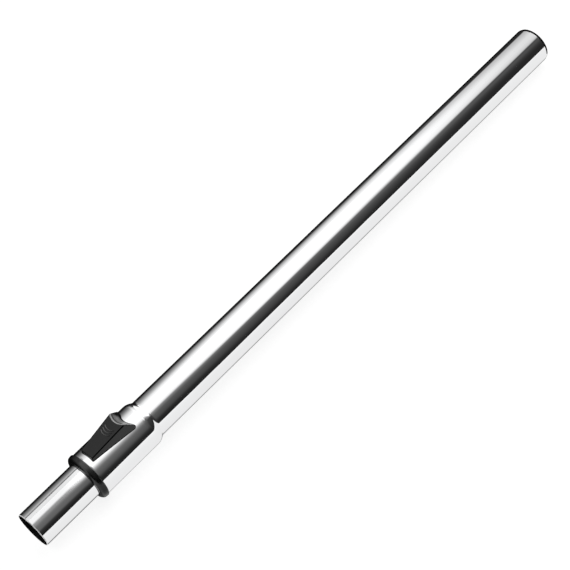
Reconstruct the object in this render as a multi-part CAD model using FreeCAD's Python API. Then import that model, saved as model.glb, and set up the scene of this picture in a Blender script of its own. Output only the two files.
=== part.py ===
import FreeCAD, Part
import math
import os

# Telescopic vacuum wand, pushed together and lying on a flat surface with its
# slide button on top. Millimetres, +Z up.
#
# Every piece is first made in the wand's own line: x runs along the tube axis
# from the open end of the inner tube (x = 0) to the socket rim (x = 621), z is
# the side the button is on. At the end all pieces are laid down together: the
# wand rests on its collar and on the socket end, so its axis dips by a small
# angle towards the socket.

V = FreeCAD.Vector

# ---------------------------------------------------------------- dimensions
length_closed = 621.0        # whole wand, pushed together
extension = 360.0            # travel of the inner tube
notch_pitch = 20.0           # distance between two lock positions
wall = 0.8                   # wall of both steel tubes

outer_r = 17.5               # outer tube, outside radius
bulge_r = 20.2               # widened head of the outer tube
bulge_start = 61.0           # edge of the widened head, under the collar
shoulder_x = 116.2           # where the shoulder leaves the widened head
shoulder_r1 = 11.0           # convex part of the shoulder
shoulder_r2 = 4.2            # concave crease at the foot of the shoulder
rim_r1 = 5.2                 # rolled-in rim at the socket end: slow curve first,
rim_turn = 28.0              # up to this angle,
rim_r2 = 0.9                 # then a tight one

inner_r = 15.8               # inner tube, outside radius
inner_len = 560.0            # inner tube length
groove_bottom = 15.0         # floor of the long groove, height over the axis
groove_under = 14.35         # underside of the groove floor, thinned by the pressing
groove_half_low = 1.7        # half width of the groove floor
groove_half_top = 2.1        # half width of the groove at the surface
bead_half_low = 2.2          # weld bead inside the tube, opposite the groove
bead_half_top = 1.5
bead_h = 0.8
mark_x = 54.6                # shallow ring line that ends the free spigot
mark_w = 1.2
mark_d = 0.2

collar_front = 55.2
collar_r = 21.15
slide_gap = 0.3              # radial gap between sliding pieces

sleeve_start = 66.3
sleeve_end = 116.6
sleeve_r = 19.3

roller_x = 88.0              # lock roller, above the first notch
roller_z = 16.75
roller_r = 2.5
roller_half = 1.2
journal_r = 0.75
journal_half = 4.0
roller_lift = 1.2
button_travel = 4.0
ramp_slope = roller_lift / button_travel

slot_x0, slot_x1 = 70.5, 100.5   # opening in the widened head under the button
slot_half = 5.2

# the button's edges, seen from the collar (low) end to the thumb (high) end
b_low_top = (66.4, 6.7, 22.8)
b_high_top = (102.4, 8.9, 28.6)
b_low_foot = (65.5, 7.2, 18.85)
b_high_foot = (115.5, 11.8, 17.2)
b_seat = bulge_r + 0.35      # the button rides this far from the axis
edge_r = 1.1                 # rounded edges of the button
scoop_top = (98.75, 27.56)   # thumb scoop, its line at mid width, upper end
scoop_foot = (105.9, 20.4)   # lower end
scoop_low = (-4.0, 13.25, 11.0)   # scoop sections: place along that line, radius, half width
scoop_high = (16.0, 31.75, 17.0)
lip_r = 0.4                  # rounded upper lip of the scoop
tip_c = (105.85, 19.75)      # rounded tips of the two wings
tip_r = 2.6
mark_apex = (85.7, 88.1, 90.5)    # raised arrow marks on the top, three bowed strokes
mark_bow, mark_half, mark_stroke = 8.0, 42.0, 0.75

spring_r = 1.1
spring_wire = 0.4
spring_y = 3.7
spring_z = 17.3
spring_x0, spring_x1 = 69.0, 79.7
spring_turns = 6.5

liner_x0, liner_x1 = 573.8, 618.2
liner_r_in, liner_r_out = 15.95, 16.65


# ------------------------------------------------------------------- helpers
def P(x, r):
    return V(x, 0, r)


def closed(path):
    """Face from a closed outline in (x, r). A step is a point, or (mid, end) for an arc."""
    edges = []
    cur = path[0]
    for s in list(path[1:]) + [path[0]]:
        if isinstance(s[0], tuple):
            mid, end = s
            edges.append(Part.Arc(P(*cur), P(*mid), P(*end)).toShape())
            cur = end
        else:
            if (P(*s) - P(*cur)).Length > 1e-7:
                edges.append(Part.LineSegment(P(*cur), P(*s)).toShape())
            cur = s
    return Part.Face(Part.Wire(edges))


def turned(path):
    """Body of revolution about the wand's axis."""
    return closed(path).revolve(V(0, 0, 0), V(1, 0, 0), 360)


def box(x0, x1, y0, y1, z0, z1):
    return Part.makeBox(x1 - x0, y1 - y0, z1 - z0, V(x0, y0, z0))


def rod_x(r, x0, x1, y=0.0, z=0.0):
    return Part.makeCylinder(r, x1 - x0, V(x0, y, z), V(1, 0, 0))


def rod_y(r, y0, y1, x, z):
    return Part.makeCylinder(r, y1 - y0, V(x, y0, z), V(0, 1, 0))


def prism_y(pts, y0, y1):
    """Prism with its outline in (x, z), from y0 to y1."""
    w = Part.makePolygon([V(x, y0, z) for x, z in pts] + [V(pts[0][0], y0, pts[0][1])])
    return Part.Face(w).extrude(V(0, y1 - y0, 0))


def poly(pts):
    return Part.makePolygon([V(*p) for p in pts] + [V(*pts[0])])


def both(shape):
    """A shape and its mirror image across the middle plane y = 0."""
    return [shape, shape.mirror(V(0, 0, 0), V(0, 1, 0))]


def fuse_all(first, others):
    return first.multiFuse(list(others)).removeSplitter()


def one(shape, name):
    s = shape.Solids
    if len(s) != 1:
        raise RuntimeError("%s has %d solids" % (name, len(s)))
    if not s[0].isValid():
        raise RuntimeError("%s is not valid" % name)
    return s[0]


parts = {}

# --------------------------------------------------------------- outer tube
# One drawn steel tube: widened head, shoulder, long plain length, rolled rim.
run = math.sqrt(2 * (bulge_r - outer_r) * (shoulder_r1 + shoulder_r2) - (bulge_r - outer_r) ** 2)
shoulder_end = shoulder_x + run
c1 = (shoulder_x, bulge_r - shoulder_r1)
c2 = (shoulder_end, outer_r + shoulder_r2)
phi = math.atan2(c2[1] - c1[1], c2[0] - c1[0])


def on(c, r, a):
    return (c[0] + r * math.cos(a), c[1] + r * math.sin(a))


def shoulder(offset):
    """The two arcs of the shoulder, offset inward from the outside surface."""
    a, b = shoulder_r1 - offset, shoulder_r2 + offset
    t = on(c1, a, phi)
    return [
        (on(c1, a, (math.pi / 2 + phi) / 2), t),
        (on(c2, b, (phi + math.pi + 3 * math.pi / 2) / 2), on(c2, b, 3 * math.pi / 2)),
    ]


ra = math.radians(90 - rim_turn)
rim_x = length_closed - rim_r2 - (rim_r1 - rim_r2) * math.cos(ra)    # where the rim starts to turn in
rc1 = (rim_x, outer_r - rim_r1)                                      # centres of its two curves
rc2 = on(rc1, rim_r1 - rim_r2, ra)
rim_a, rim_b = (ra + math.pi / 2) / 2, ra / 2
outside = [(bulge_start, bulge_r), (shoulder_x, bulge_r)] + shoulder(0.0) + [
    (rim_x, outer_r),
    (on(rc1, rim_r1, rim_a), on(rc1, rim_r1, ra)),
    (on(rc2, rim_r2, rim_b), (length_closed, rc2[1])),
]
ins = shoulder(wall)
inner_wall = [
    (length_closed - wall, rc2[1]),
    (on(rc2, rim_r2 - wall, rim_b), on(rc2, rim_r2 - wall, ra)),
    (on(rc1, rim_r1 - wall, rim_a), (rim_x, outer_r - wall)),
    (shoulder_end, outer_r - wall),
    (ins[1][0], on(c1, shoulder_r1 - wall, phi)),
    (ins[0][0], (shoulder_x, bulge_r - wall)),
    (bulge_start, bulge_r - wall),
]
tube = turned(outside + inner_wall)
slot = fuse_all(
    box(slot_x0 + 2, slot_x1 - 2, -slot_half, slot_half, 15, 25),
    [box(slot_x0, slot_x1, -slot_half + 2, slot_half - 2, 15, 25)]
    + [Part.makeCylinder(2, 10, V(x, y, 15)) for x in (slot_x0 + 2, slot_x1 - 2) for y in (-slot_half + 2, slot_half - 2)],
)
parts["outer_tube"] = tube.cut(slot)

# --------------------------------------------------------------- inner tube
# Rolled steel tube with one long pressed groove in line with the button, and a
# row of notches pressed into the groove floor for the lock roller. The tube is
# welded along its length, which leaves a low bead inside.
def arc_under(r, half):
    z = math.sqrt(r * r - half * half)
    return Part.Arc(V(0, half, z), V(0, 0, -r), V(0, -half, z)).toShape(), z


oe, oz = arc_under(inner_r, groove_half_top)
ow = Part.Wire([
    oe,
    Part.LineSegment(V(0, -groove_half_top, oz), V(0, -groove_half_low, groove_bottom)).toShape(),
    Part.LineSegment(V(0, -groove_half_low, groove_bottom), V(0, groove_half_low, groove_bottom)).toShape(),
    Part.LineSegment(V(0, groove_half_low, groove_bottom), V(0, groove_half_top, oz)).toShape(),
])
ih_low, ih_top = groove_half_low + 0.3, groove_half_top + 0.4
ie, iz = arc_under(inner_r - wall, ih_top)
iw = Part.Wire([
    ie,
    Part.LineSegment(V(0, -ih_top, iz), V(0, -ih_low, groove_under)).toShape(),
    Part.LineSegment(V(0, -ih_low, groove_under), V(0, ih_low, groove_under)).toShape(),
    Part.LineSegment(V(0, ih_low, groove_under), V(0, ih_top, iz)).toShape(),
])
bead = poly([
    (0, -bead_half_low, 0.4 - inner_r), (0, bead_half_low, 0.4 - inner_r),
    (0, bead_half_top, wall + bead_h - inner_r), (0, -bead_half_top, wall + bead_h - inner_r),
])
section = Part.Face(ow).cut(Part.Face(iw)).fuse(Part.Face(bead)).removeSplitter()
tube = section.extrude(V(inner_len, 0, 0))
notches = int(round(extension / notch_pitch)) + 1
bumps, pockets = [], []
for k in range(notches):
    x = roller_x + notch_pitch * k
    b = rod_y(roller_r + 0.25 + 0.55, -1.95, 1.95, x, roller_z)
    bumps.append(b.common(box(x - 6, x + 6, -3, 3, 10, groove_under + 0.1)))
    pockets.append(rod_y(roller_r + 0.25, -1.55, 1.55, x, roller_z))
tube = tube.multiFuse(bumps).cut(Part.makeCompound(pockets))
mark = rod_x(inner_r + 1, mark_x, mark_x + mark_w).cut(rod_x(inner_r - mark_d, mark_x - 1, mark_x + mark_w + 1))
parts["inner_tube"] = tube.cut(mark)

# --------------------------------------------------------- collar and wiper
bore = inner_r + slide_gap
ca = (57.4, collar_r - 0.45)
parts["end_collar"] = turned([
    (collar_front, bore),
    (collar_front, 17.2),
    ((collar_front + 0.75, 19.3), ca),
    (58.4, collar_r - 0.17),
    (60.3, collar_r),
    ((60.75, collar_r - 0.12), (61.0, collar_r - 0.55)),
    (61.0, bulge_r - wall - 0.1),
    (sleeve_start - 0.2, bulge_r - wall - 0.1),
    (sleeve_start - 0.2, 17.7),
    (61.2, 17.7),
    (61.2, bore),
    (60.0, bore),
    (60.0, 17.6),
    (57.2, 17.6),
    (57.2, bore),
])
parts["wiper_ring"] = turned([(57.25, bore), (57.25, 17.55), (59.95, 17.55), (59.95, bore)])

# ------------------------------------------------------------- guide sleeve
# Plastic sleeve that fills the widened head, carries the lock and runs on the
# inner tube. Two keys reach into the long groove and stop the tubes turning.
sleeve = rod_x(sleeve_r, sleeve_start, sleeve_end).cut(rod_x(bore, sleeve_start - 1, sleeve_end + 1))
cuts = both(box(68.5, 101.5, 2.7, 5.9, 10, 25))
cuts += both(box(68.5, 80.2, 2.4, 5.9, 10, 25))
cuts += [
    box(roller_x - roller_r - 0.3, roller_x + roller_r + 0.3, -roller_half - 0.35, roller_half + 0.35, 10, 25),
    box(roller_x - journal_r - 0.25, roller_x + journal_r + 0.25, -4, 4, 10, 25),
]
sleeve = sleeve.cut(Part.makeCompound(cuts))
keys = [box(x0, x1, -1.0, 1.0, groove_bottom + 0.4, bore + 0.6) for x0, x1 in ((67.0, 73.0), (104.0, 115.0))]
parts["guide_sleeve"] = fuse_all(sleeve, keys)

# -------------------------------------------------------------- slide button
# Hollow wedge: flat top that rises away from the collar, drafted flanks that
# spread into two wings, and a concave thumb scoop at the high end.
def down_to(top, foot, z):
    t = (z - top[2]) / (foot[2] - top[2])
    return tuple(top[i] + t * (foot[i] - top[i]) for i in range(3))


zb = 15.5
lo, hi = down_to(b_low_top, b_low_foot, zb), down_to(b_high_top, b_high_foot, zb)


def quad(a, b):
    """Outline through two points and their mirror images."""
    return poly([a, b, (b[0], -b[1], b[2]), (a[0], -a[1], a[2])])


wedge = Part.makeLoft([quad(lo, hi), quad(b_low_top, b_high_top)], True, True)


def corner_edges(s):
    """The four edges that run from the base up to the top face."""
    out = []
    for e in s.Edges:
        z = [v.Z for v in e.Vertexes]
        if len(z) == 2 and abs(z[0] - z[1]) > 5.5:
            out.append(e)
    return out


def rim_edges(s, height):
    """Edges that lie in the sloping top face."""
    return [e for e in s.Edges if all(abs(v.Z - height(v.X)) < 1e-4 for v in e.Vertexes)]


slope = (b_high_top[2] - b_low_top[2]) / (b_high_top[0] - b_low_top[0])


def top_z(x):
    return b_low_top[2] + slope * (x - b_low_top[0])


wedge = wedge.makeFillet(edge_r, corner_edges(wedge) + rim_edges(wedge, top_z))

# rounded wing tips
def tip(a):
    return V(tip_c[0] + tip_r * math.cos(math.radians(a)), -20, tip_c[1] + tip_r * math.sin(math.radians(a)))


t0, t1, t2 = tip(-75), tip(0), tip(45)
far = V(t2.x + 20, -20, t2.z + 20)
side = [V(t0.x, -20, 10), V(50, -20, 10), V(50, -20, far.z), far]
edges = [Part.Arc(t2, t1, t0).toShape()]
edges += [Part.LineSegment(a, b).toShape() for a, b in zip([t0] + side, side + [t2])]
wedge = wedge.common(Part.Face(Part.Wire(edges)).extrude(V(0, 40, 0)))

# thumb scoop, leaning with the high end and widening towards its foot
ax = V(scoop_foot[0] - scoop_top[0], 0, scoop_foot[1] - scoop_top[1])
ax.normalize()
up = V(-ax.z, 0, ax.x)                     # away from the button, across the scoop line


def scoop_section(place, r, half):
    o = V(scoop_top[0], 0, scoop_top[1]) + ax * place
    d = up * (r - math.sqrt(r * r - half * half))
    a, b, c, e = o + V(0, -half, 0) + d, o + V(0, half, 0) + d, o + V(0, half, 0) + up * 22, o + V(0, -half, 0) + up * 22
    return Part.Wire([
        Part.Arc(a, o, b).toShape(), Part.LineSegment(b, c).toShape(),
        Part.LineSegment(c, e).toShape(), Part.LineSegment(e, a).toShape(),
    ])


wedge = wedge.cut(Part.makeLoft([scoop_section(*scoop_low), scoop_section(*scoop_high)], True, True))
hollow = max((f for f in wedge.Faces if f.CenterOfMass.x > scoop_top[0] and abs(f.CenterOfMass.y) < 0.5), key=lambda f: f.Area)
wedge = wedge.makeFillet(lip_r, [e for e in hollow.Edges if e.BoundBox.ZMin > scoop_top[1] - 1.0])

# hollow inside
cav_low_top, cav_high_top = (69.6, 5.4, 21.9), (97.9, 7.1, 26.6)
cav_low, cav_high = (68.0, 7.4, zb - 1), (108.9, 9.7, zb - 1)
cavity = Part.makeLoft([quad(cav_low, cav_high), quad(cav_low_top, cav_high_top)], True, True)
shell = wedge.cut(cavity).cut(rod_x(b_seat, 50, 130))

# two pegs that fasten the button to the slider
pegs = [Part.makeCylinder(1.1, top_z(x) - 0.8 - 20.95, V(x, 0, 20.95)) for x in (82.0, 95.0)]

# raised arrow marks that show which way to push
al = math.atan(slope)
ex, en = V(math.cos(al), 0, math.sin(al)), V(-math.sin(al), 0, math.cos(al))
marks = []
for x in mark_apex:
    o = V(x, 0, top_z(x)) - en * 0.4

    def bow(r, a):
        return o + ex * (mark_bow - r * math.cos(math.radians(a))) + V(0, r * math.sin(math.radians(a)), 0)

    r0, r1 = mark_bow, mark_bow - mark_stroke
    w = Part.Wire([
        Part.Arc(bow(r0, -mark_half), bow(r0, 0), bow(r0, mark_half)).toShape(),
        Part.LineSegment(bow(r0, mark_half), bow(r1, mark_half)).toShape(),
        Part.Arc(bow(r1, mark_half), bow(r1, 0), bow(r1, -mark_half)).toShape(),
        Part.LineSegment(bow(r1, -mark_half), bow(r0, -mark_half)).toShape(),
    ])
    marks.append(Part.Face(w).extrude(en * 0.75))
parts["slide_button"] = fuse_all(shell, pegs + marks)

# --------------------------------------------------------------- lock slider
# Carriage under the button: a plate with two cheeks that reach through the
# opening in the tube. The sloping ceiling in each cheek holds the roller down,
# and lets it rise when the button is pushed towards the collar. Feet under the
# tube wall keep the carriage from lifting out.
plate = box(76.5, 99.5, -4.2, 4.2, 20.95, 21.95)
plate = plate.cut(Part.makeCompound([Part.makeCylinder(1.2, 5, V(x, 0, 19)) for x in (82.0, 95.0)]))
ceil0 = roller_z + journal_r + 0.3
cheek = prism_y(
    [
        (80.0, 15.95), (roller_x - 1.5, 15.95), (roller_x - 1.5, ceil0 - 0.45), (roller_x + 5.6, ceil0 + ramp_slope * 5.6),
        (roller_x + 5.6, 15.95), (99.5, 15.95), (99.5, 21.2), (80.0, 21.2),
    ],
    3.0, 4.2,
)
foot = box(95.5, 99.5, 4.1, 5.5, 16.2, 18.1)
parts["lock_slider"] = fuse_all(plate, both(cheek) + both(foot))

# --------------------------------------------------------------- lock roller
roller = rod_y(roller_r, -roller_half, roller_half, roller_x, roller_z)
parts["lock_roller"] = fuse_all(roller, [rod_y(journal_r, -journal_half, journal_half, roller_x, roller_z)])

# ------------------------------------------------------------ return springs
# Two small coil springs between the sleeve and the cheeks.
def coil(y):
    rc_ = spring_r - spring_wire / 2
    span = spring_x1 - spring_x0 - spring_wire
    helix = Part.makeHelix(span / spring_turns, span, rc_)
    prof = Part.Wire([Part.makeCircle(spring_wire / 2, V(rc_, 0, 0), V(0, 1, 0))])
    s = Part.Wire(helix).makePipeShell([prof], True, True)
    s.rotate(V(0, 0, 0), V(0, 1, 0), 90)
    s.translate(V(spring_x0 + spring_wire / 2, y, spring_z))
    return s


parts["return_spring_left"] = coil(spring_y)
parts["return_spring_right"] = coil(-spring_y)

# ------------------------------------------- guide ring and seal, inner end
slip = outer_r - wall - slide_gap
ring = turned([
    (546.0, inner_r + 0.05), (546.0, slip), (561.4, slip), (561.4, inner_r - wall), (inner_len + 0.05, inner_r - wall), (inner_len + 0.05, inner_r + 0.05),
])
parts["rear_guide_ring"] = ring.cut(box(540, 565, -0.6, 0.6, -20, -10))
parts["lip_seal"] = turned([
    (537.5, inner_r + 0.05), (537.5, inner_r + 0.35), (539.3, slip), (540.3, slip), (541.6, inner_r + 0.4), (545.7, inner_r + 0.4), (545.7, inner_r + 0.05),
])

# ------------------------------------------------------------- socket liner
# Plastic liner held behind the rolled rim. The hose handle plugs into it.
parts["socket_liner"] = turned([(liner_x0, liner_r_in), (liner_x0, liner_r_out), (liner_x1, liner_r_out), (liner_x1, liner_r_in)])

# ---------------------------------------------------------------- lay it down
# The wand touches the surface with the collar's largest ring and with the tube
# just before the rolled rim.
touch_a, touch_b = (60.3, -collar_r), (rim_x, -outer_r)
dip = math.atan2(touch_b[1] - touch_a[1], touch_b[0] - touch_a[0])
cs, sn = math.cos(dip), math.sin(dip)
lowest = -touch_a[0] * sn + touch_a[1] * cs
x_low = -inner_r * sn
x_high = rc2[0] * cs + rc2[1] * sn + rim_r2
lay = FreeCAD.Placement(V(-(x_low + x_high) / 2, 0, -lowest), FreeCAD.Rotation(V(0, 1, 0), math.degrees(dip)))

os.makedirs("parts", exist_ok=True)
for name, shape in parts.items():
    solid = one(shape, name)
    solid = solid.copy()
    solid.transformShape(lay.toMatrix(), True)
    solid.exportStep("parts/%s.step" % name)
    print("%-20s volume %9.1f mm3" % (name, solid.Volume))
print("dip %.4f deg, shift x %.4f z %.4f" % (math.degrees(dip), -(x_low + x_high) / 2, -lowest))
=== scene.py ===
"""Looks of the telescopic vacuum wand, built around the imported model.

The wand's own line is used for all shapes here: x runs along the tube axis from the open spigot (0) to the
socket rim (621), z is the button's side, in millimetres. W() turns a point of that line into the row frame.
"""
import math

import bpy
import numpy as np
from mathutils import Matrix, Vector


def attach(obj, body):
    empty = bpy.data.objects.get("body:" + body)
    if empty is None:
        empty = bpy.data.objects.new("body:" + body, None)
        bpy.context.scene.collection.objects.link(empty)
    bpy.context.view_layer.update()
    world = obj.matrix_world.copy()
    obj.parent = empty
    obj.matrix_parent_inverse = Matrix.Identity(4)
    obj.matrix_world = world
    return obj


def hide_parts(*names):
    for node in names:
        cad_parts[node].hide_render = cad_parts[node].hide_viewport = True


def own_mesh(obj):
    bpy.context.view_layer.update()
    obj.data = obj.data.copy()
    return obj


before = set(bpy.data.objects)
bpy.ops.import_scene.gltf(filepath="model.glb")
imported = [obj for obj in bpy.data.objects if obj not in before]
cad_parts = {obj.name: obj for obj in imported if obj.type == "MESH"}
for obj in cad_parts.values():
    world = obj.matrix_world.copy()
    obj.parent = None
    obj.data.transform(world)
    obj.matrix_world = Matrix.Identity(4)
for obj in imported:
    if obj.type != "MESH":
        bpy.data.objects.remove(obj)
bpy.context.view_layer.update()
scene = bpy.context.scene

# ------------------------------------------------------------------ dimensions
LEN = 621.0
OUT_R, HEAD_R, WALL = 17.5, 20.2, 0.8
HEAD_X0, SHOULDER_X, SH_R1, SH_R2 = 61.0, 116.2, 11.0, 4.2
RIM_R1, RIM_TURN, RIM_R2 = 5.2, 28.0, 0.9
RIM_X = LEN - RIM_R2 - (RIM_R1 - RIM_R2) * math.sin(math.radians(RIM_TURN))
IN_R, IN_LEN = 15.8, 560.0
COLLAR_R, COLLAR_X = 21.15, 55.2
BORE = IN_R + 0.3
SLOT_X0, SLOT_X1 = 70.5, 100.5
ROLLER_X, ROLLER_Z, PITCH, NOTCHES = 88.0, 16.75, 20.0, 19
MARK_X, MARK_W, MARK_D = 54.6, 1.2, 0.2

# the wand lies on the collar's widest ring and on the tube just before the rim
DIP = math.atan2(COLLAR_R - OUT_R, RIM_X - 60.3)
CS, SN = math.cos(DIP), math.sin(DIP)
TZ = 60.3 * SN + COLLAR_R * CS
rim1 = (RIM_X, OUT_R - RIM_R1)
rim2 = (LEN - RIM_R2, rim1[1] + (RIM_R1 - RIM_R2) * math.cos(math.radians(RIM_TURN)))
TX = -(-IN_R * SN + rim2[0] * CS + rim2[1] * SN + RIM_R2) / 2


def W(x, y, z):
    """Wand line (mm) to row frame (m)."""
    return ((x * CS + z * SN + TX) / 1000.0, y / 1000.0, (-x * SN + z * CS + TZ) / 1000.0)


def turn(v):
    """A direction of the wand line in the row frame."""
    return Vector((v[0] * CS + v[2] * SN, v[1], -v[0] * SN + v[2] * CS))


# ------------------------------------------------------------------- materials
def material(name):
    m = bpy.data.materials.new(name)
    m.use_nodes = True
    nt = m.node_tree
    nt.nodes.clear()
    out = nt.nodes.new("ShaderNodeOutputMaterial")
    p = nt.nodes.new("ShaderNodeBsdfPrincipled")
    nt.links.new(p.outputs["BSDF"], out.inputs["Surface"])
    return m, nt, p


def coords(nt, scale):
    """Object coordinates, stretched per axis."""
    tc = nt.nodes.new("ShaderNodeTexCoord")
    mp = nt.nodes.new("ShaderNodeMapping")
    mp.inputs["Scale"].default_value = scale
    nt.links.new(tc.outputs["Object"], mp.inputs["Vector"])
    return mp.outputs["Vector"]


def axis_of(nt, axis):
    """One object coordinate, in metres."""
    tc = nt.nodes.new("ShaderNodeTexCoord")
    sp = nt.nodes.new("ShaderNodeSeparateXYZ")
    nt.links.new(tc.outputs["Object"], sp.inputs[0])
    return sp.outputs[axis]


def noise(nt, vec, scale, detail=3.0, rough=0.55):
    n = nt.nodes.new("ShaderNodeTexNoise")
    n.inputs["Scale"].default_value = scale
    n.inputs["Detail"].default_value = detail
    n.inputs["Roughness"].default_value = rough
    nt.links.new(vec, n.inputs["Vector"])
    return n.outputs["Fac"]


def spread(nt, fac, lo, hi, a=0.3, b=0.7):
    r = nt.nodes.new("ShaderNodeMapRange")
    r.inputs["From Min"].default_value = a
    r.inputs["From Max"].default_value = b
    r.inputs["To Min"].default_value = lo
    r.inputs["To Max"].default_value = hi
    nt.links.new(fac, r.inputs["Value"])
    return r.outputs["Result"]


def tint(nt, fac, dark, light, a=0.3, b=0.7):
    r = nt.nodes.new("ShaderNodeValToRGB")
    r.color_ramp.elements[0].position = a
    r.color_ramp.elements[0].color = (*dark, 1)
    r.color_ramp.elements[1].position = b
    r.color_ramp.elements[1].color = (*light, 1)
    nt.links.new(fac, r.inputs["Fac"])
    return r.outputs["Color"]


def bump(nt, height, strength, distance, under=None):
    b = nt.nodes.new("ShaderNodeBump")
    b.inputs["Strength"].default_value = strength
    b.inputs["Distance"].default_value = distance
    nt.links.new(height, b.inputs["Height"])
    if under is not None:
        nt.links.new(under, b.inputs["Normal"])
    return b.outputs["Normal"]


def chrome():
    """Bright plating on drawn steel: hair-fine draw lines along the tube and a breath of handling haze."""
    m, nt, p = material("bright_chrome")
    p.inputs["Metallic"].default_value = 1.0
    haze = noise(nt, coords(nt, (9, 34, 34)), 1.0, 4.0)
    lines = noise(nt, coords(nt, (6, 2600, 2600)), 1.0, 2.0)
    dull = nt.nodes.new("ShaderNodeMix")
    dull.data_type = "RGBA"
    dull.blend_type = "MULTIPLY"
    dull.inputs[0].default_value = 1.0
    nt.links.new(tint(nt, haze, (0.915, 0.918, 0.925), (0.945, 0.947, 0.952)), dull.inputs[6])
    # base colour a quarter darker on the upper side of the tube's far half
    upper_far_dim = nt.nodes.new("ShaderNodeMath")
    upper_far_dim.operation = "MULTIPLY"
    nt.links.new(spread(nt, axis_of(nt, "X"), 0.0, 1.0, 0.15, 0.30), upper_far_dim.inputs[0])
    nt.links.new(spread(nt, axis_of(nt, "Z"), 0.0, 1.0, 0.0285, 0.0325), upper_far_dim.inputs[1])
    nt.links.new(tint(nt, upper_far_dim.outputs[0], (1.0, 1.0, 1.0), (0.75, 0.75, 0.75), 0.0, 1.0), dull.inputs[7])
    nt.links.new(dull.outputs[2], p.inputs["Base Color"])
    r1 = spread(nt, haze, 0.022, 0.052)
    r2 = spread(nt, lines, -0.006, 0.014)
    add = nt.nodes.new("ShaderNodeMath")
    add.operation = "ADD"
    nt.links.new(r1, add.inputs[0])
    nt.links.new(r2, add.inputs[1])
    nt.links.new(add.outputs[0], p.inputs["Roughness"])
    n1 = bump(nt, lines, 0.010, 0.0004)
    n2 = bump(nt, noise(nt, coords(nt, (14, 60, 60)), 1.0, 1.0), 0.012, 0.0020, n1)
    nt.links.new(n2, p.inputs["Normal"])
    return m


def black_plastic(name, base, rough, grain, shine):
    """Moulded black plastic with a fine spark-eroded grain."""
    m, nt, p = material(name)
    cloud = noise(nt, coords(nt, (1, 1, 1)), 160, 3.0)
    fine = noise(nt, coords(nt, (1, 1, 1)), 3200, 2.0, 0.6)
    nt.links.new(tint(nt, cloud, tuple(0.86 * c for c in base), tuple(1.12 * c for c in base)), p.inputs["Base Color"])
    mixed = nt.nodes.new("ShaderNodeMath")
    mixed.operation = "MULTIPLY_ADD"
    nt.links.new(fine, mixed.inputs[0])
    mixed.inputs[1].default_value = 0.2
    nt.links.new(spread(nt, cloud, rough - 0.13, rough - 0.07), mixed.inputs[2])
    nt.links.new(mixed.outputs[0], p.inputs["Roughness"])
    p.inputs["Specular IOR Level"].default_value = shine
    nt.links.new(bump(nt, fine, grain, 0.00012), p.inputs["Normal"])
    return m


def acetal():
    """Natural acetal: milky, faintly waxy, with flow clouds."""
    m, nt, p = material("natural_acetal")
    cloud = noise(nt, coords(nt, (1, 1, 1)), 95, 4.0)
    fine = noise(nt, coords(nt, (1, 1, 1)), 2200, 2.0)
    nt.links.new(tint(nt, cloud, (0.74, 0.73, 0.685), (0.80, 0.79, 0.755)), p.inputs["Base Color"])
    nt.links.new(spread(nt, cloud, 0.34, 0.46), p.inputs["Roughness"])
    nt.links.new(bump(nt, fine, 0.10, 0.0001), p.inputs["Normal"])
    return m


def steel(name, base, rough, stretch):
    """Plain bright steel with tool lines."""
    m, nt, p = material(name)
    p.inputs["Metallic"].default_value = 1.0
    lines = noise(nt, coords(nt, stretch), 1.0, 3.0)
    nt.links.new(tint(nt, lines, tuple(0.9 * c for c in base), tuple(1.06 * c for c in base)), p.inputs["Base Color"])
    nt.links.new(spread(nt, lines, rough - 0.06, rough + 0.08), p.inputs["Roughness"])
    nt.links.new(bump(nt, lines, 0.06, 0.00008), p.inputs["Normal"])
    return m


def felt():
    m, nt, p = material("dark_felt")
    fibre = noise(nt, coords(nt, (1, 1, 1)), 2600, 5.0, 0.7)
    cloud = noise(nt, coords(nt, (1, 1, 1)), 420, 3.0)
    nt.links.new(tint(nt, fibre, (0.07, 0.07, 0.078), (0.135, 0.135, 0.145)), p.inputs["Base Color"])
    nt.links.new(spread(nt, cloud, 0.88, 1.0), p.inputs["Roughness"])
    p.inputs["Sheen Weight"].default_value = 0.35
    nt.links.new(bump(nt, fibre, 0.6, 0.0003), p.inputs["Normal"])
    return m


def rubber():
    m, nt, p = material("seal_rubber")
    cloud = noise(nt, coords(nt, (1, 1, 1)), 300, 3.0)
    fine = noise(nt, coords(nt, (1, 1, 1)), 2800, 2.0)
    nt.links.new(tint(nt, cloud, (0.024, 0.024, 0.025), (0.036, 0.036, 0.037)), p.inputs["Base Color"])
    nt.links.new(spread(nt, cloud, 0.55, 0.70), p.inputs["Roughness"])
    nt.links.new(bump(nt, fine, 0.15, 0.0001), p.inputs["Normal"])
    return m


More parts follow.
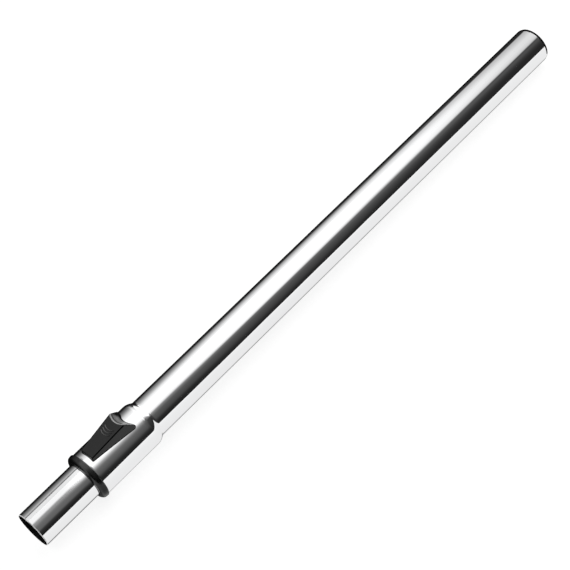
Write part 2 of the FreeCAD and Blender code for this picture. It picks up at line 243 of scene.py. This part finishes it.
def scoop_wear_and_painted_light(m):
    """The scoop and its lip are coloured by a mask by place: partly thumb wear, partly painted light, with a painted
    highlight along the lip, painted reflection bands across the scoop and painted shade, dark again at the foot of the
    scoop.
    """
    nt = m.node_tree
    p = next(n for n in nt.nodes if n.type == "BSDF_PRINCIPLED")
    plain = p.inputs["Base Color"].links[0].from_socket

    def vec(kind, a, b):
        nd = nt.nodes.new("ShaderNodeVectorMath")
        nd.operation = kind
        nt.links.new(a, nd.inputs[0])
        nd.inputs[1].default_value = b
        return nd.outputs["Value"] if kind == "DOT_PRODUCT" else nd.outputs["Vector"]

    def calc(kind, a, b):
        nd = nt.nodes.new("ShaderNodeMath")
        nd.operation = kind
        for i, v in enumerate((a, b)):
            if isinstance(v, (int, float)):
                nd.inputs[i].default_value = v
            else:
                nt.links.new(v, nd.inputs[i])
        return nd.outputs[0]

    tc = nt.nodes.new("ShaderNodeTexCoord")
    rel = vec("SUBTRACT", tc.outputs["Object"], W(98.75, 0, 27.56))
    y = axis_of(nt, "Y")
    y2 = calc("MULTIPLY", y, y)
    off = calc("SUBTRACT", vec("DOT_PRODUCT", rel, tuple(turn((0.7076, 0, 0.7066)))), calc("MULTIPLY", y2, 31.25))
    down = calc("SUBTRACT", vec("DOT_PRODUCT", rel, tuple(turn((0.7066, 0, -0.7076)))), calc("MULTIPLY", y2, 21.7))
    mask = spread(nt, off, 0.0, 1.0, -0.00045, -0.00015)
    # painted light: this ramp paints the lip's highlight, a dark band, the scoop's reflection bands and the shade at
    # the scoop's foot
    ramp = nt.nodes.new("ShaderNodeValToRGB")
    els = ramp.color_ramp.elements
    els[0].position, els[1].position = 0.0, 1.0
    els[0].color, els[1].color = (0.30, 0.30, 0.30, 1), (0.006, 0.006, 0.006, 1)
    for mm, val in ((0.2, 0.50), (1.1, 0.46), (1.7, 0.05), (2.3, 0.05), (3.4, 0.21), (6.0, 0.31), (8.4, 0.17), (9.6, 0.006)):
        els.new((mm + 1.0) / 13.0).color = (val, val, val, 1)
    nt.links.new(spread(nt, down, 0.0, 1.0, -0.0016, 0.0114), ramp.inputs["Fac"])
    mx = nt.nodes.new("ShaderNodeMix")
    mx.data_type = "RGBA"
    nt.links.new(mask, mx.inputs[0])
    nt.links.new(plain, mx.inputs[6])
    nt.links.new(ramp.outputs["Color"], mx.inputs[7])
    nt.links.new(mx.outputs[2], p.inputs["Base Color"])

    # painted shade: no shine on the two long top edges and in the shadow gap along the foot, so both draw as dark
    # lines
    both = nt.nodes.new("ShaderNodeVectorMath")
    both.operation = "ABSOLUTE"
    nt.links.new(vec("MULTIPLY", tc.outputs["Object"], (0.0, 1.0, 0.0)), both.inputs[0])
    flat = vec("MULTIPLY", tc.outputs["Object"], (1.0, 0.0, 1.0))
    folded = nt.nodes.new("ShaderNodeVectorMath")
    folded.operation = "ADD"
    nt.links.new(both.outputs["Vector"], folded.inputs[0])
    nt.links.new(flat, folded.inputs[1])

    def off_line(v, start, along):
        """Distance of v from a line, in metres."""
        d = vec("SUBTRACT", v, start)
        t = vec("DOT_PRODUCT", d, tuple(along))
        dd = nt.nodes.new("ShaderNodeVectorMath")
        dd.operation = "DOT_PRODUCT"
        nt.links.new(d, dd.inputs[0])
        nt.links.new(d, dd.inputs[1])
        return calc("SQRT", calc("MAXIMUM", calc("SUBTRACT", dd.outputs["Value"], calc("MULTIPLY", t, t)), 0.0), 0.0)

    a, b = Vector(W(66.4, 6.7, 22.8)), Vector(W(102.4, 8.9, 28.6))
    ridge = off_line(folded.outputs["Vector"], tuple(a), (b - a).normalized())
    foot = off_line(tc.outputs["Object"], W(0, 0, 0), turn((1, 0, 0)))
    dull = calc("MAXIMUM", spread(nt, ridge, 1.0, 0.0, 0.00055, 0.00090), spread(nt, foot, 1.0, 0.0, 0.0210, 0.0214))
    nt.links.new(spread(nt, dull, p.inputs["Specular IOR Level"].default_value, 0.02, 0.0, 1.0), p.inputs["Specular IOR Level"])
    return m


def ridge_painted_highlight():
    """Raised marks with a painted highlight: lighter towards one side across the button."""
    m = black_plastic("ridge_painted_highlight", (0.05, 0.05, 0.051), 0.30, 0.05, 0.42)
    nt = m.node_tree
    p = next(n for n in nt.nodes if n.type == "BSDF_PRINCIPLED")
    # painted highlight: base colour runs from near black to pale grey towards +Y
    nt.links.new(tint(nt, spread(nt, axis_of(nt, "Y"), 0.0, 1.0, -0.0056, 0.0056), (0.012, 0.012, 0.012), (0.19, 0.19, 0.19), 0.1, 0.75), p.inputs["Base Color"])
    return m


CHROME = chrome()
EDGE = steel("ground_edge", (0.90, 0.90, 0.90), 0.55, (900, 60, 60))
next(nd for nd in EDGE.node_tree.nodes if nd.type == "BSDF_PRINCIPLED").inputs["Metallic"].default_value = 0.1   # cut edge, ground satin
# painted shade: the inner tube's bore wall is given a near-black steel colour so its open end reads dark inside
DARK_BORE = steel("bore_painted_shade", (0.030, 0.030, 0.031), 0.42, (20, 900, 900))
BUTTON = scoop_wear_and_painted_light(black_plastic("black_button", (0.0030, 0.0030, 0.0031), 0.22, 0.05, 0.42))
RIDGE = ridge_painted_highlight()
COLLAR = black_plastic("black_collar", (0.0030, 0.0030, 0.0031), 0.22, 0.05, 0.21)
nt = COLLAR.node_tree                      # painted highlight: the collar's upper side is given more shine than its lower side
p = next(nd for nd in nt.nodes if nd.type == "BSDF_PRINCIPLED")
nt.links.new(spread(nt, axis_of(nt, "Z"), 0.18, 0.80, 0.022, 0.038), p.inputs["Specular IOR Level"])
LINER = black_plastic("black_liner", (0.013, 0.013, 0.0135), 0.52, 0.22, 0.5)
ACETAL = acetal()
SPRING = steel("spring_wire", (0.56, 0.56, 0.57), 0.30, (900, 900, 900))
ROLLER = steel("ground_roller", (0.62, 0.62, 0.63), 0.22, (120, 6000, 120))
FELT = felt()
RUBBER = rubber()


# ---------------------------------------------------------------- mesh helpers
def make(name, verts, faces, mat, body, nodes, sharp=32.0, second=None, on_second=None, third=None, on_third=None):
    me = bpy.data.meshes.new(name)
    me.from_pydata([W(*v) for v in verts], [], faces)
    me.validate()
    me.materials.append(mat)
    if second is not None:
        me.materials.append(second)
        if third is not None:
            me.materials.append(third)
        me.polygons.foreach_set("material_index", [1 if on_second(i) else 2 if third is not None and on_third(i) else 0 for i in range(len(me.polygons))])
    me.polygons.foreach_set("use_smooth", [True] * len(me.polygons))
    me.set_sharp_from_angle(angle=math.radians(sharp))
    me.update()
    ob = bpy.data.objects.new(name, me)
    scene.collection.objects.link(ob)
    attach(ob, body)
    if nodes:
        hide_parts(*nodes)
    return ob


def arc(c, r, a0, a1, n):
    """Points on an arc in (x, r), both ends included; angles in degrees."""
    return [(c[0] + r * math.cos(math.radians(a0 + (a1 - a0) * k / n)), c[1] + r * math.sin(math.radians(a0 + (a1 - a0) * k / n))) for k in range(n + 1)]


def rings(profile, segs):
    """Vertices of a turned body: one ring of segs points for each profile point, from the top round."""
    v = []
    for x, r in profile:
        for j in range(segs):
            a = 2 * math.pi * j / segs
            v.append((x, r * math.sin(a), r * math.cos(a)))
    return v


def skin(n, segs, skip=()):
    """Faces that join the rings of a closed outline, in order, without the skipped (ring, segment) cells."""
    f = []
    skip = set(skip)
    for i in range(n):
        for j in range(segs):
            if (i, j) in skip:
                continue
            i2, j2 = (i + 1) % n, (j + 1) % segs
            f.append((i * segs + j, i2 * segs + j, i2 * segs + j2, i * segs + j2))
    return f


SEGS = 256

# ------------------------------------------------------------------ outer tube
drop = HEAD_R - OUT_R
run = math.sqrt(2 * drop * (SH_R1 + SH_R2) - drop ** 2)
c1 = (SHOULDER_X, HEAD_R - SH_R1)
c2 = (SHOULDER_X + run, OUT_R + SH_R2)
phi = math.degrees(math.atan2(c2[1] - c1[1], c2[0] - c1[0]))
outside = arc((HEAD_X0 + 0.65, HEAD_R - 0.65), 0.65, 180, 90, 8) + [(HEAD_X0 + 1.4, HEAD_R),
           (SLOT_X0, HEAD_R), (SLOT_X1, HEAD_R), (SHOULDER_X - 1.5, HEAD_R)]
outside += arc(c1, SH_R1, 90, phi, 20)
outside += arc(c2, SH_R2, phi + 180, 270, 14)[1:]
outside += [(SHOULDER_X + run + 0.6, OUT_R), (SHOULDER_X + run + 3.0, OUT_R), (360.0, OUT_R), (RIM_X - 3.0, OUT_R), (RIM_X - 0.5, OUT_R)]
outside += arc(rim1, RIM_R1, 90, 90 - RIM_TURN, 10) + arc(rim2, RIM_R2, 90 - RIM_TURN, 0, 14)[1:]
inside = arc(rim2, RIM_R2 - WALL, 0, 90 - RIM_TURN, 4) + arc(rim1, RIM_R1 - WALL, 90 - RIM_TURN, 90, 6)[1:]
inside += [(RIM_X - 1.0, OUT_R - WALL), (SHOULDER_X + run + 2.0, OUT_R - WALL)]
inside += arc(c2, SH_R2 + WALL, 270, phi + 180, 6)
inside += arc(c1, SH_R1 - WALL, phi, 90, 8)[1:]
inside += [(SHOULDER_X - 1.5, HEAD_R - WALL), (SLOT_X1, HEAD_R - WALL), (SLOT_X0, HEAD_R - WALL), (HEAD_X0, HEAD_R - WALL)]
prof = outside + inside
n = len(prof)
half = 11                                  # slot half width in segments
cols = [j % SEGS for j in range(-half, half)]
o0, o1 = prof.index((SLOT_X0, HEAD_R)), prof.index((SLOT_X1, HEAD_R))
i0, i1 = prof.index((SLOT_X0, HEAD_R - WALL)), prof.index((SLOT_X1, HEAD_R - WALL))
gone = [(o0, j) for j in cols] + [(i1, j) for j in cols]
faces = skin(n, SEGS, gone)
for j in cols:
    j2 = (j + 1) % SEGS
    faces.append((o0 * SEGS + j, o0 * SEGS + j2, i0 * SEGS + j2, i0 * SEGS + j))
    faces.append((o1 * SEGS + j2, o1 * SEGS + j, i1 * SEGS + j, i1 * SEGS + j2))
ja, jb = (-half) % SEGS, half % SEGS
faces.append((o1 * SEGS + ja, o0 * SEGS + ja, i0 * SEGS + ja, i1 * SEGS + ja))
faces.append((o0 * SEGS + jb, o1 * SEGS + jb, i1 * SEGS + jb, i0 * SEGS + jb))
make("outer_tube_chrome", rings(prof, SEGS), faces, CHROME, "outer", ["outer_tube"])

# ------------------------------------------------------------------ inner tube
LIP, LOW = 2.1, 1.7                        # groove half widths, at the surface and on its floor
FLOOR, UNDER = 15.0, 14.35
oz = math.sqrt(IN_R ** 2 - LIP ** 2)
ARC_N = 176


def loop(r, lip, groove):
    """Section outline: round the back from the right lip to the left lip, then across the groove to the right."""
    a = math.asin(lip / r)
    pts = []
    for k in range(ARC_N + 1):
        t = a + (2 * math.pi - 2 * a) * k / ARC_N
        pts.append((r * math.sin(t), r * math.cos(t)))
    pts += [(-y, z) for y, z in groove]
    pts += [(0.0, groove[-1][1])]
    pts += list(reversed(groove))
    return pts


out_loop = loop(IN_R, LIP, [(1.97, oz - 0.10), (1.90, 15.32), (1.80, 15.10), (1.66, 15.0), (1.56, FLOOR), (1.50, FLOOR), (0.80, FLOOR)])
ih, iz = LIP + 0.4, math.sqrt((IN_R - WALL) ** 2 - (LIP + 0.4) ** 2)
in_loop = loop(IN_R - WALL, ih, [(2.40, iz - 0.12), (2.30, 14.60), (2.18, 14.42), (2.02, UNDER), (1.95, UNDER), (1.90, UNDER), (0.95, UNDER)])
# low weld bead inside, opposite the groove
for k, (y, z) in enumerate(in_loop):
    if z < 0 and abs(y) < 2.3:
        t = min(1.0, max(0.0, (2.3 - abs(y)) / 0.9))
        in_loop[k] = (y, z + 0.8 * t * t * (3 - 2 * t))
K = len(out_loop)

# the tube's outside edge is rounded at both ends; the inside edge is only broken
ease = [(0.5 - 0.5 * math.cos(math.radians(a)), 0.5 - 0.5 * math.sin(math.radians(a))) for a in (0, 10, 22, 34, 46, 58, 70, 80, 90)]
xs = [(x, off) for x, off in ease] + [(0.7, 0.0), (1.2, 0.0), (MARK_X - 1.0, 0.0), (MARK_X, 0.0)]
xs += [(MARK_X + 0.06, 0.0), (MARK_X + MARK_W - 0.06, 0.0), (MARK_X + MARK_W, 0.0), (60.0, 0.0)]
for k in range(NOTCHES):
    xs += [(ROLLER_X + PITCH * k + d, 0.0) for d in (-2.5, -2.13, -1.75, -1.1, 0.0, 1.1, 1.75, 2.13, 2.5)]
xs += [(IN_LEN - 1.0, 0.0)] + [(IN_LEN - x, off) for x, off in reversed(ease)]


def notch(x, r, lowest):
    """Height of a notch of radius r at x, or None beside the notches."""
    k = round((x - ROLLER_X) / PITCH)
    if not 0 <= k < NOTCHES:
        return None
    d = x - (ROLLER_X + PITCH * k)
    if abs(d) >= r:
        return None
    z = ROLLER_Z - math.sqrt(r * r - d * d)
    return z if z < lowest else None


verts, faces = [], []
for side, (pts, sign, r_notch, low) in enumerate(((out_loop, -1, 2.75, FLOOR), (in_loop, 1, 3.3, UNDER))):
    for x, off in xs:
        zn = notch(x, r_notch, low)
        for y, z in pts:
            r = math.hypot(y, z)
            if side == 0 and MARK_X + 0.03 < x < MARK_X + MARK_W - 0.03 and r > IN_R - MARK_D:
                y, z = y * (IN_R - MARK_D) / r, z * (IN_R - MARK_D) / r
            wide = 1.51 if side == 0 else 1.92
            if zn is not None and z > 0 and abs(y) < wide:
                z = zn
            s = 1 + sign * (off if side == 0 else 0.2 * off) / r
            verts.append((x, y * s, z * s))
nx = len(xs)
for side in (0, 1):
    base = side * nx * K
    for i in range(nx - 1):
        for j in range(K):
            j2 = (j + 1) % K
            q = (base + i * K + j, base + i * K + j2, base + (i + 1) * K + j2, base + (i + 1) * K + j)
            faces.append(q if side == 0 else q[::-1])
for i, flip in ((0, False), (nx - 1, True)):
    for j in range(K):
        j2 = (j + 1) % K
        q = (i * K + j2, i * K + j, nx * K + i * K + j, nx * K + i * K + j2)
        faces.append(q[::-1] if flip else q)
per_side = (nx - 1) * K
make("inner_tube_chrome", verts, faces, CHROME, "inner", ["inner_tube"], second=DARK_BORE, on_second=lambda i: per_side <= i < 2 * per_side,
     third=EDGE, on_third=lambda i: i < len(ease) * K)

# ---------------------------------------------------------------------- collar
prof = [(COLLAR_X + 0.25, BORE), (COLLAR_X + 0.05, BORE + 0.08), (COLLAR_X, BORE + 0.25), (COLLAR_X, 17.05)]
# front edge: one round curve from the face to the rim band
A, M, B = Vector((COLLAR_X, 17.2)), Vector((COLLAR_X + 0.75, 19.3)), Vector((57.4, COLLAR_R - 0.45))


def circle3(a, b, c):
    d = 2 * (a.x * (b.y - c.y) + b.x * (c.y - a.y) + c.x * (a.y - b.y))
    ux = (a.length_squared * (b.y - c.y) + b.length_squared * (c.y - a.y) + c.length_squared * (a.y - b.y)) / d
    uy = (a.length_squared * (c.x - b.x) + b.length_squared * (a.x - c.x) + c.length_squared * (b.x - a.x)) / d
    return Vector((ux, uy))


cc = circle3(A, M, B)
rr = (A - cc).length
aa = [math.degrees(math.atan2(p.y - cc.y, p.x - cc.x)) % 360 for p in (A, B)]
prof += arc((cc.x, cc.y), rr, aa[0], aa[1], 18)
prof += [(58.4, COLLAR_R - 0.17), (60.1, COLLAR_R - 0.01), (60.3, COLLAR_R), (60.52, COLLAR_R - 0.03), (60.75, COLLAR_R - 0.12), (60.9, COLLAR_R - 0.28), (61.0, COLLAR_R - 0.55),
         (61.0, 20.3), (61.0, HEAD_R - WALL - 0.1), (61.3, HEAD_R - WALL - 0.1), (66.0, HEAD_R - WALL - 0.1), (66.1, HEAD_R - WALL - 0.2), (66.1, 17.7), (61.2, 17.7), (61.2, BORE),
         (60.0, BORE), (60.0, 17.6), (57.2, 17.6), (57.2, BORE)]
make("end_collar_moulded", rings(prof, SEGS), skin(len(prof), SEGS), COLLAR, "outer", ["end_collar"], 28.0)

# ---------------------------------------------------------------- socket liner
prof = [(573.8, 16.55), (573.9, 16.65), (618.1, 16.65), (618.2, 16.55), (618.2, 16.10), (618.05, 15.95), (574.3, 15.95), (573.8, 16.3)]
make("socket_liner_moulded", rings(prof, SEGS), skin(len(prof), SEGS), LINER, "outer", ["socket_liner"], 50.0)

# ------------------------------------------------- raised arrow marks, rounded
LOW_TOP, HIGH_TOP = (66.4, 22.8), (102.4, 28.6)
tilt = math.atan2(HIGH_TOP[1] - LOW_TOP[1], HIGH_TOP[0] - LOW_TOP[0])
ex, ey, en = Vector((math.cos(tilt), 0, math.sin(tilt))), Vector((0, 1, 0)), Vector((-math.sin(tilt), 0, math.cos(tilt)))
section = [(-0.42, -0.10), (-0.41, 0.12), (-0.33, 0.30), (-0.18, 0.40), (0.0, 0.43), (0.18, 0.40), (0.33, 0.30), (0.41, 0.12), (0.42, -0.10)]
verts, faces = [], []
for apex in (85.7, 88.1, 90.5):
    o = Vector((apex, 0, LOW_TOP[1] + math.tan(tilt) * (apex - LOW_TOP[0]))) + ex * 8.0
    base, steps = len(verts), 28
    for i in range(steps + 1):
        a = math.radians(-42.5 + 85.0 * i / steps)
        end = min(1.0, 0.45 + 0.55 * min(i, steps - i) / 2)
        out = ex * -math.cos(a) + ey * math.sin(a)
        for t, h in section:
            verts.append(tuple(o + out * (7.625 + t * end) + en * (h if h < 0 else h * end)))
    m_ = len(section)
    for i in range(steps):
        for k in range(m_ - 1):
            q = base + i * m_ + k
            faces.append((q, q + 1, q + m_ + 1, q + m_))
    faces.append(tuple(base + k for k in range(m_))[::-1])
    faces.append(tuple(base + steps * m_ + k for k in range(m_)))
make("arrow_ridges", verts, faces, RIDGE, "button", [], 60.0)

# --------------------------------------------------------------------- springs
def coil(name, y0, node):
    wire, rad, x0, x1, turns = 0.2, 0.9, 69.0, 79.7, 6.5
    steps, sides = int(turns * 28), 10
    v, f = [], []
    for i in range(steps + 1):
        t = 2 * math.pi * turns * i / steps
        x = x0 + wire + (x1 - x0 - 2 * wire) * i / steps
        c = Vector((x, y0 + rad * math.sin(t), 17.3 + rad * math.cos(t)))
        out = Vector((0, math.sin(t), math.cos(t)))
        for k in range(sides):
            a = 2 * math.pi * k / sides
            p = c + out * (wire * math.cos(a)) + Vector((wire * math.sin(a), 0, 0))
            v.append(tuple(p))
    for i in range(steps):
        for k in range(sides):
            k2 = (k + 1) % sides
            f.append((i * sides + k, i * sides + k2, (i + 1) * sides + k2, (i + 1) * sides + k))
    f.append(tuple(range(sides))[::-1])
    f.append(tuple(steps * sides + k for k in range(sides)))
    ob = make(name, v, f, SPRING, "outer", [node], 50.0)
    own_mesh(ob)


coil("return_coil_left", 3.7, "return_spring_left")
coil("return_coil_right", -3.7, "return_spring_right")

# ------------------------------------------------- pieces kept as they are made
for node, mat in {"slide_button": BUTTON, "guide_sleeve": ACETAL, "lock_slider": ACETAL, "rear_guide_ring": ACETAL,
                  "lock_roller": ROLLER, "wiper_ring": FELT, "lip_seal": RUBBER}.items():
    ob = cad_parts[node]
    if not ob.material_slots:
        ob.data.materials.append(mat)
    for s in ob.material_slots:
        s.material = mat

# --------------------------------------------------------------------- camera
right, up, back = Vector((0.67059546, -0.71483821, -0.19826262)), Vector((0.65206108, 0.44057141, 0.6170196)), Vector((-0.35372035, -0.54304988, 0.76156336))
FOCAL = 1503.3607                          # in pixels of the 570-pixel frame
back = (back + right * (0.2 / FOCAL) - up * (0.4 / FOCAL)).normalized()
right = (right - back * right.dot(back)).normalized()
up = back.cross(right)
cam_data = bpy.data.cameras.new("camera")
cam_data.sensor_fit = "HORIZONTAL"
cam_data.sensor_width = 36.0
cam_data.lens = FOCAL * 36.0 / 570.0
cam_data.clip_start, cam_data.clip_end = 0.05, 100.0
cam = bpy.data.objects.new("camera", cam_data)
scene.collection.objects.link(cam)
r_, u_, b_, p_ = turn(right), turn(up), turn(back), Vector(W(-154.19925574, -676.14677385, 947.92281642))
cam.matrix_world = Matrix(((r_.x, u_.x, b_.x, p_.x), (r_.y, u_.y, b_.y, p_.y), (r_.z, u_.z, b_.z, p_.z), (0, 0, 0, 1)))
scene.camera = cam

# ---------------------------------------------------------------------- studio
def plane(name, x0, x1, y0, y1, z, mat):
    me = bpy.data.meshes.new(name)
    me.from_pydata([(x0, y0, z), (x1, y0, z), (x1, y1, z), (x0, y1, z)], [], [(0, 1, 2, 3)])
    me.materials.append(mat)
    ob = bpy.data.objects.new(name, me)
    scene.collection.objects.link(ob)
    return ob


m, nt, p = material("pale_floor")
p.inputs["Base Color"].default_value = (0.34, 0.34, 0.34, 1)
p.inputs["Roughness"].default_value = 0.9
p.inputs["Specular IOR Level"].default_value = 0.0
p.inputs["Emission Color"].default_value = (1, 1, 1, 1)
p.inputs["Emission Strength"].default_value = 0.86
floor = plane("floor", -20, 20, -20, 20, 0.0, m)
floor.visible_glossy = False

# the lit table top as the chrome sees it: it ends just past the socket and a hand's width in front; its glow falls to
# near black under and behind the wand, a painted contact shadow seen only in reflection
m = bpy.data.materials.new("table_light")
m.use_nodes = True
nt = m.node_tree
nt.nodes.clear()
out = nt.nodes.new("ShaderNodeOutputMaterial")
em = nt.nodes.new("ShaderNodeEmission")
nt.links.new(em.outputs[0], out.inputs["Surface"])
tc = nt.nodes.new("ShaderNodeTexCoord")
sx = nt.nodes.new("ShaderNodeSeparateXYZ")
nt.links.new(tc.outputs["Object"], sx.inputs[0])
mr = nt.nodes.new("ShaderNodeMapRange")
mr.inputs["From Min"].default_value = -0.25
mr.inputs["From Max"].default_value = 0.25
nt.links.new(sx.outputs["Y"], mr.inputs["Value"])
ramp = nt.nodes.new("ShaderNodeValToRGB")
els = ramp.color_ramp.elements
els[0].position, els[1].position = 0.0, 1.0
els[0].color, els[1].color = (1.02, 1.02, 1.02, 1), (0.03, 0.03, 0.03, 1)
for y, val in ((-0.145, 0.93), (-0.0175, 0.87), (-0.0125, 0.20), (0.0, 0.05), (0.02, 0.006), (0.12, 0.006)):
    els.new((y + 0.25) / 0.5).color = (val, val, val, 1)
nt.links.new(mr.outputs[0], ramp.inputs["Fac"])
nt.links.new(ramp.outputs["Color"], em.inputs["Color"])
m.cycles.emission_sampling = "NONE"
front = [(-1.5, -0.22), (-0.27, -0.222), (-0.23, -0.222), (-0.17, -0.265), (-0.135, -0.295), (-0.10, -0.305), (-0.072, -0.258), (-0.01, -0.285), (0.12, -0.345), (0.24, -0.32), (0.33, -0.238), (0.41, -0.25), (0.46, -0.215), (0.50, -0.226), (0.9, -0.226)]
me = bpy.data.meshes.new("table_light")
me.from_pydata([(x, y, -0.0005) for x, y in front + [(0.9, 0.6), (-1.5, 0.6)]], [], [tuple(range(len(front) + 2))])
me.materials.append(m)
card = bpy.data.objects.new("table_light", me)
scene.collection.objects.link(card)
card.visible_camera = card.visible_diffuse = card.visible_shadow = card.visible_transmission = False
card.visible_volume_scatter = False

# a low black flag just past the socket end, seen only in the chrome: it draws the rim
m, nt, p = material("black_flag")
p.inputs["Base Color"].default_value = (0.004, 0.004, 0.004, 1)
p.inputs["Roughness"].default_value = 1.0
p.inputs["Specular IOR Level"].default_value = 0.0
me = bpy.data.meshes.new("rim_flag")
edge = [(-28.2, 0), (-33.8, 13.2), (-33.4, 27.1), (-27.1, 40.0), (-16.0, 49.2), (-2.3, 53.6), (13.3, 53.2), (26.2, 44.0), (33.0, 30.0), (32.5, 16), (32.5, 0)]
me.from_pydata([(0.3225, y / 1000.0, z / 1000.0) for y, z in edge], [], [tuple(range(len(edge)))])
me.materials.append(m)
flag = bpy.data.objects.new("rim_flag", me)
scene.collection.objects.link(flag)
flag.visible_camera = flag.visible_diffuse = flag.visible_shadow = flag.visible_transmission = False
flag.visible_volume_scatter = False

# soft overhead light as a band along the wand, bright above and fading towards the back; its profile is given by the
# angle round the wand (0 front horizon, 90 up, 180 back horizon) and changes slowly along it
world = bpy.data.worlds.new("studio")
scene.world = world
world.use_nodes = True
nt = world.node_tree
nt.nodes.clear()


def op(kind, a, b=None, clamp=False):
    nd = nt.nodes.new("ShaderNodeMath")
    nd.operation = kind
    nd.use_clamp = clamp
    for i, v in enumerate((a, b)):
        if v is None:
            continue
        if isinstance(v, (int, float)):
            nd.inputs[i].default_value = v
        else:
            nt.links.new(v, nd.inputs[i])
    return nd.outputs[0]


def step(v, a, b):
    nd = nt.nodes.new("ShaderNodeMapRange")
    nd.interpolation_type = "SMOOTHSTEP"
    nd.inputs["From Min"].default_value = a
    nd.inputs["From Max"].default_value = b
    nt.links.new(v, nd.inputs["Value"])
    return nd.outputs["Result"]


def band(turned, stops):
    nd = nt.nodes.new("ShaderNodeValToRGB")
    els = nd.color_ramp.elements
    els[0].position, els[1].position = 0.0, 1.0
    els[0].color = els[1].color = (stops[-1][1],) * 3 + (1,)
    for deg, val in stops:
        e = els.new((deg + 90.0) / 360.0)
        e.color = (val, val, val, 1)
    nt.links.new(turned, nd.inputs["Fac"])
    return nd.outputs["Color"]


def mix(f, a, b):
    nd = nt.nodes.new("ShaderNodeMix")
    nd.data_type = "RGBA"
    nt.links.new(f, nd.inputs[0])
    for i, v in ((6, a), (7, b)):
        if isinstance(v, tuple):
            nd.inputs[i].default_value = v
        else:
            nt.links.new(v, nd.inputs[i])
    return nd.outputs[2]


tc = nt.nodes.new("ShaderNodeTexCoord")
sx = nt.nodes.new("ShaderNodeSeparateXYZ")
nt.links.new(tc.outputs["Generated"], sx.inputs[0])
X, Y, Z = sx.outputs["X"], sx.outputs["Y"], sx.outputs["Z"]
ang = op("ARCTAN2", Z, op("MULTIPLY", Y, -1.0))
# angle from -90 (straight down) upwards over the front, the top and the back, as 0..1
turned = op("FRACT", op("ADD", op("DIVIDE", ang, 2 * math.pi), 1.25))
WHITE = 1.25
near = band(turned, [(-90, 0.05), (-6, 0.016), (5, 0.014), (20, 0.032), (25, 0.062), (30, 0.112), (37, 0.13), (48, 0.143), (54, 0.165), (59, 0.21), (65, 0.275), (71, 0.31), (75, 0.37), (78, 0.56), (82, 0.87), (86, 0.98), (106, 1.0), (112, 1.1), (119, 1.15), (124, 0.98), (128, 0.70), (132, 0.41), (136, 0.38), (141, 0.42), (149, 0.48), (158, 0.27), (168, 0.19), (179, 0.08), (188, 0.006), (210, 0.006)])
head = band(turned, [(-90, 0.05), (-6, 0.02), (5, 0.016), (10, 0.022), (15, 0.032), (20, 0.055), (25, 0.082), (34, 0.107), (43, 0.128), (48, 0.153), (52, 0.21), (56, 0.30), (61, 0.44), (65, 0.70), (70, 0.94), (76, WHITE), (118, WHITE), (124, 1.0), (130, 0.87), (136, 0.79), (142, 0.66), (148, 0.51), (155, 0.33), (163, 0.21), (171, 0.125), (180, 0.08), (190, 0.025), (200, 0.006)])
low = band(turned, [(-90, 0.05), (-6, 0.02), (5, 0.016), (12, 0.022), (18, 0.033), (23, 0.055), (29, 0.070), (39, 0.086), (45, 0.097), (50, 0.125), (55, 0.18), (60, 0.235), (63, 0.40), (66, 0.68), (69, 0.92), (76, 1.05), (82, WHITE), (118, WHITE), (127, 1.03), (134, 0.95), (141, 0.77), (148, 0.57), (156, 0.39), (165, 0.25), (175, 0.18), (186, 0.05), (192, 0.012), (210, 0.006)])
middle = band(turned, [(-90, 0.05), (-6, 0.02), (5, 0.02), (12, 0.03), (22, 0.05), (44, 0.085), (54, 0.13), (57.5, 0.19), (64.5, 0.95), (70, 1.03), (78, WHITE), (128, WHITE), (138, 1.0), (146, 0.87), (154, 0.67), (163, 0.48), (173, 0.30), (180, 0.08), (185, 0.010), (235, 0.010)])
far = band(turned, [(-90, 0.05), (-6, 0.02), (5, 0.02), (20, 0.022), (30, 0.033), (40, 0.055), (47, 0.085), (56, 0.105), (62, 0.075), (64.5, 0.18), (66.5, 0.48), (70, 0.78), (76, 0.92), (86, 1.0), (93, 1.06), (112, 1.06), (126, 0.93), (142, 0.76), (152, 0.70), (158.5, 0.63), (164, 0.04), (170, 0.04), (178, 0.03), (186, 0.006), (235, 0.006)])
along = mix(step(X, 0.171, 0.183), near, head)
along = mix(step(X, 0.222, 0.246), along, low)
along = mix(step(X, 0.25, 0.33), along, middle)
along = mix(step(X, 0.36, 0.54), along, far)
beyond = band(turned, [(-90, 0.05), (-6, 0.02), (5, 0.02), (50, 0.05), (66, 0.30), (80, WHITE), (165, WHITE), (178, 0.30), (190, 0.05), (235, 0.05)])
along = mix(step(X, 0.558, 0.59), along, beyond)
# dimmer towards the nozzle end, with a soft light overhead
nozzle = band(turned, [(-90, 0.05), (-6, 0.02), (40, 0.02), (62, 0.04), (76, 0.20), (88, 0.70), (98, 0.90), (124, 0.90), (138, 0.62), (154, 0.28), (172, 0.06), (190, 0.006), (235, 0.006)])
along = mix(op("SUBTRACT", 1.0, step(X, -0.55, -0.35)), along, nozzle)
bg = nt.nodes.new("ShaderNodeBackground")
nt.links.new(along, bg.inputs["Color"])
white = nt.nodes.new("ShaderNodeBackground")
white.inputs["Color"].default_value = (1.05, 1.05, 1.05, 1)
lp = nt.nodes.new("ShaderNodeLightPath")
ms = nt.nodes.new("ShaderNodeMixShader")
nt.links.new(lp.outputs["Is Camera Ray"], ms.inputs[0])
nt.links.new(bg.outputs[0], ms.inputs[1])
nt.links.new(white.outputs[0], ms.inputs[2])
wo = nt.nodes.new("ShaderNodeOutputWorld")
nt.links.new(ms.outputs[0], wo.inputs["Surface"])

scene.view_settings.view_transform = "Standard"
scene.view_settings.look = "None"
